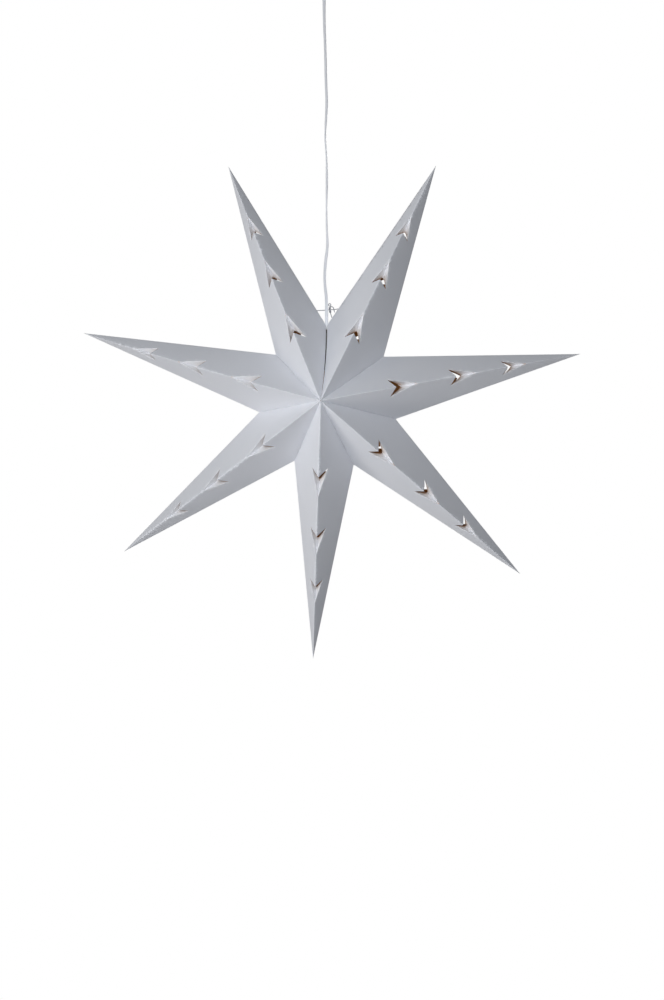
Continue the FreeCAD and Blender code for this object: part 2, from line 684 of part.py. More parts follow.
# ================================================================ the bulb
def bulb(contact_top):
    """The bulb's cap, contact and insulator, and what stands in its glass."""
    top = contact_top - CONTACT_GAP
    under = top - CONTACT_H
    cap_top = under - INSULATOR_H
    cap_low = cap_top - BULB_CAP_LENGTH
    contact = lathe([
        (0, under), (CONTACT_R, under), (CONTACT_R * 0.8, top - CONTACT_H * 0.3),
        (CONTACT_R * 0.4, top), (0, top),
    ], STAR_X)
    save("bulb_contact", contact)
    cap_top_r = THREAD_R - BULB_CAP_SLOPE
    insulator = lathe([(0, cap_top), (cap_top_r, cap_top), (CONTACT_R + 0.6, under), (0, under)], STAR_X)
    save("bulb_insulator", insulator)
    inner_r = NECK_R + 0.1
    shell = lathe([
        (inner_r, cap_top - BULB_CAP_SLOPE), (cap_top_r - BULB_CAP_WALL, cap_top), (cap_top_r, cap_top),
        (THREAD_R, cap_top - BULB_CAP_SLOPE), (THREAD_R, cap_low + 1.5 * BULB_CAP_FLARE),
        (THREAD_R + BULB_CAP_FLARE, cap_low), (THREAD_R + BULB_CAP_FLARE - BULB_CAP_WALL, cap_low),
        (inner_r, cap_low + 1.5 * BULB_CAP_FLARE),
    ], STAR_X)
    save("bulb_cap", shell)

    globe_z = top - BULB_LENGTH + GLOBE_R
    neck_low = cap_low - BULB_CAP_FLARE
    neck_top = cap_low + BULB_CAP_LENGTH * NECK_SHARE
    outside = globe(GLOBE_R, NECK_R, globe_z, neck_low, neck_top)
    inside = globe(GLOBE_R - GLASS, NECK_R - GLASS, globe_z, neck_low, neck_top - GLASS)
    save("bulb_glass", outside.cut(inside))

    stem_low = globe_z + FILAMENT_LENGTH * 0.35
    foot_r = NECK_R - GLASS - 0.2
    stem = lathe([
        (0, stem_low), (STEM_R * 0.9, stem_low + 1), (STEM_R, neck_low - STEM_R),
        (foot_r, neck_top - GLASS), (0, neck_top - GLASS),
    ], STAR_X)
    save("bulb_stem", stem)
    filaments_and_leads(globe_z, stem, stem_low)


def globe(radius, neck, globe_z, neck_low, neck_top):
    """A closed ball with a neck: a cone meets the ball at a tangent."""
    away = neck_low - globe_z
    reach = math.hypot(away, neck)
    angle = math.atan2(away, neck) - math.acos(radius / reach)
    half = (angle - math.pi / 2) / 2
    side = on_lamp(radius * math.cos(angle), 0, globe_z + radius * math.sin(angle))
    middle = on_lamp(radius * math.cos(half), 0, globe_z + radius * math.sin(half))
    corners = [side, on_lamp(neck, 0, neck_low), on_lamp(neck, 0, neck_top), on_lamp(0, 0, neck_top)]
    corners.append(on_lamp(0, 0, globe_z - radius))
    edges = [Part.Arc(corners[-1], middle, side).toShape()]
    for start, end in zip(corners, corners[1:]):
        edges.append(Part.LineSegment(start, end).toShape())
    return Part.Face(Part.Wire(edges)).revolve(Vec(STAR_X, 0, 0), Vec(0, 0, 1), 360)


def filaments_and_leads(globe_z, stem, stem_low):
    """Filaments stand in a ring; a lead reaches each one's top and its foot."""
    high = on_lamp(0, 0, globe_z + FILAMENT_LENGTH / 2)
    low = on_lamp(0, 0, globe_z - FILAMENT_LENGTH / 2)
    end = Vec(0, 0, LEAD_R)
    low_leads = cylinder(LOW_LEAD_R, low - end * 2.5, on_lamp(0, 0, stem_low))
    filaments, high_leads = [], []
    for k in range(FILAMENTS):
        turn = math.radians((k + 0.5) * 360 / FILAMENTS)
        out = Vec(math.cos(turn), math.sin(turn), 0)
        ring = out * FILAMENT_RING
        filaments.append(cylinder(FILAMENT_R, low + ring, high + ring))
        high_leads.append(cylinder(LEAD_R, high + end + out * STEM_R * 0.7, high + end + ring).cut(stem))
        low_leads = low_leads.fuse(cylinder(LEAD_R, low - end, low - end + ring))
    save("bulb_filaments", filaments)
    save("bulb_leads", [low_leads.removeSplitter()] + high_leads)


# ================================================================ make everything
os.makedirs(PARTS_FOLDER, exist_ok=True)

for number in range(POINTS):
    save("point_%d" % (number + 1), star_point(number))
for number in range(1, POINTS):
    save("glue_web_%d" % number, glue_web(number))
tie_string()

ceiling_bracket()
canopy_cup()
block_wire_z = terminal_block()
grip_screw = cord_grip()
cord_in_cup(block_wire_z, grip_screw)

supply_cord()
holder()
cord_clamp()
cord_end_in_holder()
spring_low_z = centre_spring()
bulb(spring_low_z)
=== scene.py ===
# %% [markdown]
# # A hanging card star
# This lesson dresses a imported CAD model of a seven-point Advent star: folded
# white card on a thin flat cord, under a small ceiling cup.  The CAD gives every
# size and joint.  Here each visible piece gets its soft edges and its finish.

import json
import math

import bmesh
import bpy
from mathutils import Matrix, Vector
from mathutils.geometry import delaunay_2d_cdt


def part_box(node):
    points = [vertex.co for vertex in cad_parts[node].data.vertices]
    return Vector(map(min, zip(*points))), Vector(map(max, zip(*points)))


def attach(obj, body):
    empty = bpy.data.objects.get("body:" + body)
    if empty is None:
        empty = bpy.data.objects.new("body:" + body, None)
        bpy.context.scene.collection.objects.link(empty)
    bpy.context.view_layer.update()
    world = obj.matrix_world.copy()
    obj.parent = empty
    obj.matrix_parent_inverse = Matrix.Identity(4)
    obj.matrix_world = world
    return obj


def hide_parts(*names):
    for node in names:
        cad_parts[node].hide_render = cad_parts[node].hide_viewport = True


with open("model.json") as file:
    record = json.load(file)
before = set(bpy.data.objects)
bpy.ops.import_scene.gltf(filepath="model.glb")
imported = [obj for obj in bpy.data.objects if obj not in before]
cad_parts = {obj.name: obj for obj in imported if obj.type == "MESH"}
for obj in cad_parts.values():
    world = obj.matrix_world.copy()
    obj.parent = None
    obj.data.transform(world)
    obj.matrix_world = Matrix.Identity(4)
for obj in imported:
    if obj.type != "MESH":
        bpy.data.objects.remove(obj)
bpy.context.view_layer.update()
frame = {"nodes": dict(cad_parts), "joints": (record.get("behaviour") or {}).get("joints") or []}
joints = {joint["name"]: joint for joint in frame["joints"]}
centre = Vector(joints["star_turn"]["pos_m"])
MM = 0.001
print("star's centre", tuple(round(x, 4) for x in centre))

# %% [markdown]
# ## Shader maths
# A finish is a graph of nodes.  Written node by node it hides its own idea, so a
# small class wraps a socket and lets Python's operators add the Math nodes.


# %% A socket that can be added and multiplied
class Signal:
    """One output of a node graph, so that shader maths reads as maths."""

    def __init__(self, finish, output):
        self.finish = finish
        self.output = output

    def _with(self, operation, first, second):
        return self.finish.node("Math", {"operation": operation}, {0: first, 1: second})

    def __add__(self, other):
        return self._with("ADD", self, other)

    def __radd__(self, other):
        return self._with("ADD", other, self)

    def __sub__(self, other):
        return self._with("SUBTRACT", self, other)

    def __rsub__(self, other):
        return self._with("SUBTRACT", other, self)

    def __mul__(self, other):
        return self._with("MULTIPLY", self, other)

    def __rmul__(self, other):
        return self._with("MULTIPLY", other, self)

    def __pow__(self, other):
        return self._with("POWER", self, other)

    def at_least(self, other):
        return self._with("MAXIMUM", self, other)


# %% [markdown]
# Any other node comes from one method, which takes its type, its settings and
# its sockets.  The short methods below it only name the nodes that most
# finishes use: a mix of two colours, soft random spots, and fine relief.


# %% A finish that is filled by method calls
class Finish:
    """A node graph that is filled by method calls: a material's or the world's."""

    def __init__(self, owner):
        owner.use_nodes = True
        self.owner = owner
        self.tree = owner.node_tree
        self.tree.nodes.clear()

    def node(self, kind, settings=None, sockets=None, output=0):
        """Add a node: its settings first, then the values or links of its sockets."""
        made = self.tree.nodes.new("ShaderNode" + kind)
        for name, value in (settings or {}).items():
            if name == "stops":
                set_stops(made.color_ramp, value)
            else:
                setattr(made, name, value)
        for name, value in (sockets or {}).items():
            if isinstance(value, Signal):
                self.tree.links.new(value.output, made.inputs[name])
            else:
                made.inputs[name].default_value = value
        return Signal(self, made.outputs[output]) if made.outputs else None

    def blend(self, factor, first, second):
        """Mix two colours, or two links that carry colours."""
        sockets = {0: factor, 6: first, 7: second}
        return self.node("Mix", {"data_type": "RGBA"}, sockets, output=2)

    def place(self):
        """The point being shaded, in metres, in the frame of the whole object."""
        return self.node("TexCoord", output="Object")

    def noise(self, size, detail=2.0):
        """Soft random spots of this size, from 0 to 1."""
        sockets = {"Vector": self.place(), "Scale": 1 / size, "Detail": detail}
        return self.node("TexNoise", sockets=sockets)

    def bump(self, height, depth, strength=1.0):
        """Turn a height from 0 to 1 into a normal, for relief of this real depth."""
        sockets = {"Height": height, "Distance": depth, "Strength": strength}
        return self.node("Bump", sockets=sockets)


def set_stops(ramp, stops):
    """Give a colour ramp its stops, each a place and a colour."""
    while len(ramp.elements) < len(stops):
        ramp.elements.new(1.0)
    for element, (place, colour) in zip(ramp.elements, stops):
        element.position = place
        element.color = colour


def finish_named(name):
    return Finish(bpy.data.materials.new(name))


def surface(finish, **sockets):
    """End a material in one Principled shader."""
    named = {key.replace("_", " "): value for key, value in sockets.items()}
    shader = finish.node("BsdfPrincipled", sockets=named)
    finish.node("OutputMaterial", sockets={"Surface": shader})
    print("finish", finish.owner.name, "has", len(finish.tree.nodes), "nodes")
    return finish.owner


def rgb(red, green, blue):
    return (red, green, blue, 1.0)


# %% [markdown]
# ## The camera
# The photograph was taken from a little to the right and a little above, at
# about two and a half metres, with a lens that sees 35 degrees from top to
# bottom.  The camera is placed from the star's centre, so that it stays right if
# the star is moved.

# %% Camera
CAMERA_DISTANCE = 2.5
CAMERA_ASIDE = -0.0078   # star's centre from the picture's middle, in metres there
CAMERA_ABOVE = 0.1564
CAMERA_YAW = 5.25        # degrees: the camera stands this far to the right
CAMERA_TILT = 2.34       # and looks this far down
CAMERA_ROLL = -0.37
LENS = 56.35             # mm
SENSOR = 36              # mm, the picture's long side

yaw = Matrix.Rotation(math.radians(CAMERA_YAW), 3, "Z")
tilt = Matrix.Rotation(math.radians(90 - CAMERA_TILT), 3, "X")
roll = Matrix.Rotation(math.radians(CAMERA_ROLL), 3, "Z")
aim = yaw @ tilt @ roll

camera = bpy.data.objects.new("camera", bpy.data.cameras.new("camera"))
camera.data.lens = LENS
camera.data.sensor_width = SENSOR
camera.location = centre - aim @ Vector((CAMERA_ASIDE, CAMERA_ABOVE, -CAMERA_DISTANCE))
camera.rotation_euler = aim.to_euler()
bpy.context.scene.collection.objects.link(camera)
bpy.context.scene.camera = camera
print("camera at", tuple(round(x, 3) for x in camera.location))

# %% [markdown]
# ## Small makers
# Every piece ends as one mesh object at the origin, with its place in its
# vertices, that rides on a CAD body and hides the CAD nodes that it stands for.

# %% Pieces and their meshes
SHARP_FOLD = 35          # degrees: a sharper edge than this isn't shaded smooth


def piece(name, mesh, body, materials, replaced=()):
    """Put a finished mesh into the scene as one piece of the pendant."""
    made = bpy.data.objects.new(name, mesh)
    bpy.context.scene.collection.objects.link(made)
    for material in materials:
        made.data.materials.append(material)
    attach(made, body)
    if replaced:
        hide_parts(*replaced)
    print(name, "has", len(mesh.vertices), "vertices")
    return made


def mesh_from(bm, name):
    """Close a bmesh into a smooth mesh whose sharp folds stay sharp."""
    mesh = bpy.data.meshes.new(name)
    bm.to_mesh(mesh)
    bm.free()
    mesh.shade_smooth()
    mesh.set_sharp_from_angle(angle=math.radians(SHARP_FOLD))
    return mesh


# %% [markdown]
# A cord, a string and a domed bend are all rows of rings with a skin between
# them.  A route is a few given points.  Blender's NURBS spline draws one
# smooth line from them, and a section is swept along that line.


# %% Routes, rings and sweeps
def route_line(points, steps=8):
    """Points along the smooth NURBS line that has a route as its controls."""
    curve = bpy.data.curves.new("route", "CURVE")
    curve.dimensions = "3D"
    curve.resolution_u = steps
    spline = curve.splines.new("NURBS")
    spline.points.add(len(points) - 1)
    for control, place in zip(spline.points, points):
        control.co = (*place, 1)
    spline.order_u = 3
    spline.use_endpoint_u = True
    bare = bpy.data.objects.new("route", curve)
    mesh = bpy.data.meshes.new_from_object(bare)
    line = [vertex.co.copy() for vertex in mesh.vertices]
    bpy.data.meshes.remove(mesh)
    bpy.data.curves.remove(curve)
    return line


def heading(line, k, closed):
    """The direction of a line at its k-th point."""
    last = len(line) - 1
    before = line[k - 1] if k or closed else line[0]
    after = line[(k + 1) % len(line)] if k < last or closed else line[last]
    return (after - before).normalized()


def join_rings(bm, rings, closed=False):
    """Skin a row of rings, and cap its ends unless the row is closed."""
    count = len(rings[0])
    pairs = list(zip(rings, rings[1:]))
    if closed:
        pairs.append((rings[-1], rings[0]))
    for low, high in pairs:
        for n in range(count):
            m = (n + 1) % count
            bm.faces.new((low[n], low[m], high[m], high[n]))
    if not closed:
        bm.faces.new(list(reversed(rings[0])))
        bm.faces.new(rings[-1])


def sweep(bm, line, section, side=Vector((1, 0, 0)), turn=lambda place: 0.0, closed=False):
    """Draw a section along a line; turn gives its twist, in radians, at a place."""
    rings = []
    for k, place in enumerate(line):
        along = heading(line, k, closed)
        across = (side - along * side.dot(along)).normalized()
        across = Matrix.Rotation(turn(place), 3, along) @ across
        other = along.cross(across)
        rings.append([bm.verts.new(place + across * u + other * v) for u, v in section])
    join_rings(bm, rings, closed)


def circle(radius, sides):
    turns = [math.tau * k / sides for k in range(sides)]
    return [(radius * math.cos(t), radius * math.sin(t)) for t in turns]


# %% [markdown]
# ## The cord
# The pendant hangs on a flat twin cord: two insulated wires side by side, 5.2 mm
# across and half as thick, with a groove between them.  It came off a reel, so
# it still waves a little and twists as it falls.  A round tube would lose the
# twist, so an eight-shaped section is swept along the route's NURBS line.

# %% Cord finish
finish = finish_named("white_cord")
grain = finish.noise(2.5 * MM)
cord_white = surface(
    finish,
    Base_Color=finish.blend(grain, rgb(0.74, 0.76, 0.80), rgb(0.80, 0.81, 0.84)),
    Roughness=0.38 + 0.12 * grain,
    Normal=finish.bump(finish.noise(0.7 * MM), 0.02 * MM),
)

# %% Cord route and twist
LOBE_R = 1.3 * MM
CORD_TOP = Vector(joints["swing_sideways"]["pos_m"])
CORD_LOW = Vector((centre.x, 0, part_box("supply_cord")[0].z))

# Height above the star's centre and sideways place, in mm, and twist in degrees.
CORD_WAVES = (
    (604.0, -0.9, 45), (556.0, 0.9, 55), (508.0, 1.3, 50), (474.0, 2.8, 48), (446.0, 1.0, 65),
    (418.0, -0.7, 92), (392.0, 1.6, 88), (352.0, 2.1, 60), (308.0, 0.9, 85), (272.0, 1.3, 75),
    (248.0, 2.7, 48), (226.0, -0.9, 35), (194.0, -3.3, 52), (166.0, 0.2, 35), (138.0, 0.0, 8),
)

cord_route = [CORD_TOP]
cord_route += [centre + Vector((x * MM, 0, height * MM)) for height, x, _ in CORD_WAVES]
cord_route.append(CORD_LOW)
cord_line = route_line(cord_route)

twists = [(CORD_TOP.z, 0.0)]
twists += [(centre.z + height * MM, turned) for height, _, turned in CORD_WAVES]
twists.append((CORD_LOW.z, 0.0))


def cord_twist(place):
    """The cord's twist at a height, eased between the chosen ones."""
    for (high, first), (low, second) in zip(twists, twists[1:]):
        if place.z >= low:
            share = min(1.0, (high - place.z) / (high - low))
            share = share * share * (3 - 2 * share)
            return math.radians(first + (second - first) * share)
    return 0.0


# %% The hanging cord
LOBE_REACH = 68          # degrees: a lobe's round goes this far each way from its outer side
LOBE_STEPS = 8


def twin_section():
    """Two round lobes side by side, as one outline with a groove on each face."""
    outline = []
    for side, facing in ((1, 0.0), (-1, math.pi)):
        for k in range(LOBE_STEPS + 1):
            turn = math.radians(LOBE_REACH * (2 * k / LOBE_STEPS - 1)) + facing
            outline.append((side * LOBE_R + LOBE_R * math.cos(turn), LOBE_R * math.sin(turn)))
    return outline


bm = bmesh.new()
sweep(bm, cord_line, twin_section(), turn=cord_twist)
hanging_cord = piece("hanging_cord", mesh_from(bm, "hanging_cord"), "lamp_set",
                     [cord_white], ["supply_cord"])

# %% [markdown]
# Where the cord leaves the ceiling grip it bends as the lamp swings.  The CAD
# gives that place a short piece between the two swing axes.  A plain tube would
# open a wedge at each end when the lamp leans, so each of its two wires ends in a
# dome.

# %% The bend under the grip
BEND_HIGH = Vector(joints["swing_fore_aft"]["pos_m"])
BEND_SIDES = 16
# A domed end's rings: how far out each lies, and its radius, both against a lobe's radius.
DOME = ((0.0, 1.0), (0.35, 0.94), (0.7, 0.71), (0.94, 0.35), (1.0, 0.02))


def add_domed_lobe(bm, aside):
    """One of the cord's two round wires in the bend, domed at both ends."""
    stations = []
    for out, width in reversed(DOME):
        stations.append((BEND_HIGH + Vector((aside, 0, out * LOBE_R)), width))
    for out, width in DOME:
        stations.append((CORD_TOP + Vector((aside, 0, -out * LOBE_R)), width))
    rings = []
    for place, width in stations:
        ring = circle(LOBE_R * width, BEND_SIDES)
        rings.append([bm.verts.new(place + Vector((u, v, 0))) for u, v in ring])
    join_rings(bm, rings)


bm = bmesh.new()
add_domed_lobe(bm, -LOBE_R)
add_domed_lobe(bm, LOBE_R)
bmesh.ops.recalc_face_normals(bm, faces=bm.faces)
piece("cord_bend_piece", mesh_from(bm, "cord_bend_piece"), "cord_bend",
      [cord_white], ["upper_cord"])
print("bend is", round((BEND_HIGH - CORD_TOP).length, 4), "m long")

# %% [markdown]
# ## The star's card
# Each point is one sheet of card, folded into four long triangles: two in front
# and two behind.  The hand-folded points aren't quite even, and the CAD has them
# as they are.  So each point's tip and its two notches are found in its CAD node.

# %% The star's corners
POINTS = 7
SEAM_GAP = 2.4 * MM          # the open seam at the top, between points 1 and 2
ON_MIDDLE = 0.01 * MM        # tips and notches lie this near the star's mid-plane
HALF_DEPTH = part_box("point_4")[1].y


def cut_short(tip, notch, x):
    """Where the line from a tip to its notch comes to this x."""
    return tip + (notch - tip) * ((x - tip.x) / (notch.x - tip.x))


def star_corners(number):
    """A point's tip and its two notches, anticlockwise one first, from the CAD."""
    vertices = frame["nodes"]["point_%d" % number].data.vertices
    rim = [v.co.copy() for v in vertices if abs(v.co.y) < ON_MIDDLE]
    tip = max(rim, key=lambda p: (p - centre).length)
    outward = (tip - centre).normalized()
    sideways = Vector((-outward.z, 0, outward.x))
    first = max(rim, key=lambda p: (p - centre).dot(sideways))
    second = min(rim, key=lambda p: (p - centre).dot(sideways))
    if number == 1:
        second = cut_short(tip, second, centre.x - SEAM_GAP / 2)
    if number == 2:
        first = cut_short(tip, first, centre.x + SEAM_GAP / 2)
    return tip, first, second


corners = {number: star_corners(number) for number in range(1, POINTS + 1)}
for number, (tip, _, _) in corners.items():
    print("point", number, "reaches", round((tip - centre).length, 4), "m")

# %% [markdown]
# Card that is scored and folded has a narrow round along each fold, and its
# panels are never quite flat.  A bevel and a noise would treat every edge and
# place alike.  So each panel is drawn flat, as on the sheet, and one method says
# where each flat place comes to lie: bowed a little, swayed with its edges, and
# rolled over at its three folds.

# %% Where the cuts lie
# Apex to slit, slit's ends lie back by, ends lie off the ridge by, flap's length.
CUTS = (
    (119.5, 7.5, 24.3, 36.0),
    (216.0, 6.2, 23.6, 34.0),
    (300.0, 5.0, 19.7, 31.0),
)
# The slits of points 1 to 7 cross their ridges further out by this many mm.
SLIT_OUT = (-0.5, -0.5, 0.8, 1.0, 3.0, 1.0, 0.2)
# How much further out a point's three back cuts lie than its front ones, in mm.
BACK_OUT = {
    2: (1.0, 2.5, 2.5),
    3: (6.0, 0.5, 0.5),
    4: (-9.0, -4.5, -2.0),
    5: (-9.0, -6.0, -6.0),
}
AS_IN_FRONT = (0.0, 0.0, 0.0)


# %% One flat panel and the way it is shaped
FOLD_R = 0.4 * MM        # round of a scored fold
SEAM_SWAY = 2.4 * MM     # the open seam bends to the right
FOLD_ROOM = 3            # a round shrinks where the next fold is within this many widths
BOW_PEAK = 27            # a panel's middle is a third of each corner, and 27 thirds cubed are 1
EDGE_PEAK = 4            # an edge's middle is half of each end, and 4 halves squared are 1


def edge_distance(a, b, place):
    """Distance from the line through a and b, towards its left side."""
    along = (b - a).normalized()
    return along.x * (place.y - a.y) - along.y * (place.x - a.x)


class Panel:
    """One card panel.  Flat places are (along the ridge, off the ridge)."""

    def __init__(self, number, side, tip, notch, bow, ridge_sway, at_seam):
        self.number = number
        self.at_seam = at_seam
        self.apex = centre + Vector((0, side * HALF_DEPTH, 0))
        self.notch = notch
        self.ridge = (tip - self.apex).normalized()
        reach = notch - self.apex
        self.off = (reach - self.ridge * reach.dot(self.ridge)).normalized()
        self.normal = self.ridge.cross(self.off).normalized()
        if self.normal.dot(self.apex - centre) < 0:
            self.normal.negate()
        self.flat_tip = Vector(((tip - self.apex).length, 0))
        self.flat_notch = Vector((reach.dot(self.ridge), reach.dot(self.off)))
        self.slit_out = SLIT_OUT[number - 1] * MM
        self.cuts_out = BACK_OUT.get(number, AS_IN_FRONT) if side > 0 else AS_IN_FRONT
        self.bow = bow
        self.ridge_sway = ridge_sway
        self.seam_sway = Vector((SEAM_SWAY if at_seam else 0.0, 0, 0))
        self.folds = []

    def fold_up(self, ridge_turn):
        """Set the folds: two flat places with the panel on their left, turn and width."""
        inward = (self.notch - centre).cross(Vector((0, 1, 0))).normalized()
        rim_turn = math.asin(abs(self.normal.y))
        valley_turn = math.acos(abs(self.normal.dot(inward)))
        start = Vector((0, 0))
        self.folds = [
            (start, self.flat_tip, ridge_turn, FOLD_R * math.tan(ridge_turn)),
            (self.flat_tip, self.flat_notch, rim_turn, FOLD_R * math.tan(rim_turn)),
            (self.flat_notch, start, valley_turn, FOLD_R * math.tan(valley_turn / 2)),
        ]

    def cut_places(self, n):
        """The flat corners of half of cut n: its slit's middle and end, and its far corner."""
        at, back, off, length = (value * MM for value in CUTS[n])
        at += self.cuts_out[n] * MM
        slit = Vector((at + self.slit_out, 0))
        return slit, Vector((at - back, off)), Vector((at + length, 0))

    def shares(self, flat):
        """How much of the apex, the tip and the notch there is in a flat place."""
        a, b, c = Vector((0, 0)), self.flat_tip, self.flat_notch
        whole = edge_distance(a, b, c) * (b - a).length
        of_apex = edge_distance(b, c, flat) * (c - b).length / whole
        of_tip = edge_distance(c, a, flat) * (a - c).length / whole
        return [max(share, 0) for share in (of_apex, of_tip, 1 - of_apex - of_tip)]

    def shaped(self, flat):
        """Where a flat place comes to lie on the bowed panel with rolled folds."""
        of_apex, of_tip, of_notch = self.shares(flat)
        height = BOW_PEAK * of_apex * of_tip * of_notch * self.bow
        swayed = self.ridge_sway * (EDGE_PEAK * of_apex * of_tip)
        swayed += self.seam_sway * (EDGE_PEAK * of_apex * of_notch)
        distances = [max(0.0, edge_distance(p, q, flat)) for p, q, _, _ in self.folds]
        moved = flat.copy()
        for k, (p, q, turn, wide) in enumerate(self.folds):
            room = min(distances[k] + other for n, other in enumerate(distances) if n != k)
            shrink = min(1.0, room / (FOLD_ROOM * wide))
            if distances[k] < wide * shrink:
                turned = turn * (1 - distances[k] / (wide * shrink))
                shift = (wide - FOLD_R * math.sin(turned)) * shrink - distances[k]
                along = (q - p).normalized()
                moved += Vector((-along.y, along.x)) * shift
                height -= FOLD_R * shrink * (1 - math.cos(turned))
        place = self.apex + self.ridge * moved.x + self.off * moved.y
        return place + self.normal * height + swayed


# %% [markdown]
# Only small triangles can follow a bow and a rolled fold.  A panel's outline has
# many corners, so its inside is strewn with loose places, in even rows and in
# closer rows along the folds, and a Delaunay triangulation joins them all.

# %% Loose places inside a panel
GRID = 8.0 * MM              # size of the triangles inside a panel
EDGE_STEP = 5.0 * MM         # and along its edges
ROW_STEP = 0.866 * GRID      # height of a row of even triangles
FOLD_ROWS = (0.34, 0.67, 1.0)    # rows that round a fold, against the fold's width
OFF_FOLD = 0.35 * GRID       # an even row's places keep this far from a fold
OFF_EDGE = 0.12 * MM         # and every loose place this far from the outline


def inside(outline, place):
    """Is a flat place inside an outline?"""
    within = False
    for a, b in zip(outline, outline[1:] + outline[:1]):
        if (a.y > place.y) != (b.y > place.y):
            if place.x < a.x + (b.x - a.x) * (place.y - a.y) / (b.y - a.y):
                within = not within
    return within


def clear_of(outline, place, gap):
    """Is a place further than gap from each edge of an outline?"""
    for a, b in zip(outline, outline[1:] + outline[:1]):
        along = b - a
        share = max(0.0, min(1.0, (place - a).dot(along) / along.length_squared))
        if (a + along * share - place).length < gap:
            return False
    return True


def fold_rows(a, b, wide):
    """Flat places in rows beside a fold, close enough together to round it."""
    along = b - a
    inward = Vector((-along.y, along.x)).normalized()
    count = max(2, round(along.length / EDGE_STEP))
    for share in FOLD_ROWS:
        for k in range(count + 1):
            yield a + along * (k / count) + inward * (share * wide)


def even_rows(panel, outline):
    """Flat places in even rows over an outline's box, off the panel's folds."""
    low = Vector((min(p.x for p in outline), min(p.y for p in outline)))
    high = Vector((max(p.x for p in outline), max(p.y for p in outline)))
    for j in range(int((high.y - low.y) / ROW_STEP) + 1):
        for i in range(int((high.x - low.x) / GRID) + 1):
            spot = low + Vector(((i + 0.5 * (j % 2)) * GRID, j * ROW_STEP))
            if min(edge_distance(a, b, spot) for a, b, _, _ in panel.folds) > OFF_FOLD:
                yield spot


# %% Filling a panel with triangles
ONE_PLACE = 0.01 * MM        # places nearer than this are one
INSIDE_ONLY = 1              # keep only the triangles inside the border


def spaced(a, b):
    """Places from a to just before b, one edge step apart."""
    count = max(1, round((b - a).length / EDGE_STEP))
    return [a + (b - a) * (k / count) for k in range(count)]


def fill(panel, outline):
    """Cut one outline into small triangles: flat places, and triples of them."""
    border = []
    for a, b in zip(outline, outline[1:] + outline[:1]):
        border += spaced(a, b)
    loose = []
    for a, b, _, wide in panel.folds:
        loose += list(fold_rows(a, b, wide))
    loose += list(even_rows(panel, outline))
    keep = [p for p in loose if inside(outline, p) and clear_of(outline, p, OFF_EDGE)]
    ring = list(range(len(border)))
    made = delaunay_2d_cdt(border + keep, [], [ring], INSIDE_ONLY, ONE_PLACE)
    return made[0], made[2]


def add_panel(bm, panel, outline):
    """Add a panel's triangles in their shape, all facing outwards."""
    places, triangles = fill(panel, outline)
    made = [bm.verts.new(panel.shaped(p)) for p in places]
    for triangle in triangles:
        face = bm.faces.new([made[k] for k in triangle])
        face.normal_update()
        if face.normal.dot(panel.normal) < 0:
            face.normal_flip()


# %% [markdown]
# A swallow-tail cut is a slit through the ridge.  From near each end of the slit
# a crease runs out to the ridge again, and the card between is pressed in, so
# that the ridge turns into a small valley there.  Light falls in through the
# arrow-shaped opening.  A cut-out hole would lose the flaps, so the outline goes
# round each cut.

# %% A panel's outline with its cuts
PIN_HOLE = 0.9 * MM          # the points don't quite meet at the apex
OPEN_END = 1.3 * MM          # a flap's crease starts this far from its slit's end
CORNER_ROUND = 6.0 * MM      # the seam's corners are worn round
CORNER_STEPS = 4


def crease_start(end, far):
    return end + (far - end).normalized() * OPEN_END


def panel_outline(panel):
    """The flat outline of a panel, from the apex along its cut ridge to the tip."""
    outline = [Vector((PIN_HOLE, 0))]
    for n in range(len(CUTS)):
        slit, end, far = panel.cut_places(n)
        outline += [slit, end, crease_start(end, far), far]
    outline.append(panel.flat_tip)
    notch = panel.flat_notch
    valley = notch.normalized()
    if panel.at_seam:
        along = (panel.flat_tip - notch).normalized()
        for k in range(CORNER_STEPS + 1):
            t = k / CORNER_STEPS
            outline.append(notch + (along * (1 - t) ** 2 - valley * t * t) * CORNER_ROUND)
    else:
        outline.append(notch)
    outline.append(valley * PIN_HOLE)
    return outline


# %% [markdown]
# A flap hangs on its crease, rolls over it and curls a little on its way down to
# the corner where both flaps meet.  No two cuts were pressed alike, so each point
# has its own depth and its own spring back.  Each flap's vertices also carry how
# near the cut they are, which the card's finish reads to paint bounce light on the
# flap: paler than the panels, and browner towards its free edge.

# %% One flap's lines
# How deep each point's flaps are pressed: 1 turns them right over the cut's plane.
PRESSED = (1.0, 1.0, 1.2, 0.95, 0.7, 0.7, 0.6)
# How far the pressed corner springs back towards the apex, in mm, which closes the cut.
SPRUNG = (0.0, 0.0, -0.8, 0.0, 1.3, 2.8, 2.2)
# How much painted warm bounce light each point's flaps get towards their free edges.
FLAP_BOUNCE_PAINT = (0.7, 1.2, 1.8, 1.6, 0.9, 0.4, 0.3)
FLAP_BOUNCE_PAINT_MOST = 0.8
FLAP_MARK = 0.1              # near_cut is 0 on a panel and starts here on a flap
FLAP_STEPS = 6
FLAP_CURL = 0.7 * MM
HINGE_R = 0.6 * MM           # round of the crease that a flap hangs on
HINGE_STEPS = 4
HINGE_GROWS = 4              # it has its full round a quarter of the way along


def flap_column(panel, hinge, over, pressed, share):
    """A line of places over a crease and down a flap, and how near the cut each is."""
    roll = HINGE_R * min(1.0, HINGE_GROWS * share)
    crest = hinge + over * roll
    start = crest + (pressed - crest).normalized() * roll
    column = []
    for k in range(HINGE_STEPS):
        t = k / HINGE_STEPS
        column.append((hinge.lerp(crest, t).lerp(crest.lerp(start, t), t), 0.0))
    for k in range(FLAP_STEPS + 1):
        down = k / FLAP_STEPS
        bulge = panel.normal * (FLAP_CURL * EDGE_PEAK * down * (1 - down) * share)
        column.append((start.lerp(pressed, down) + bulge, down * share * share))
    return column


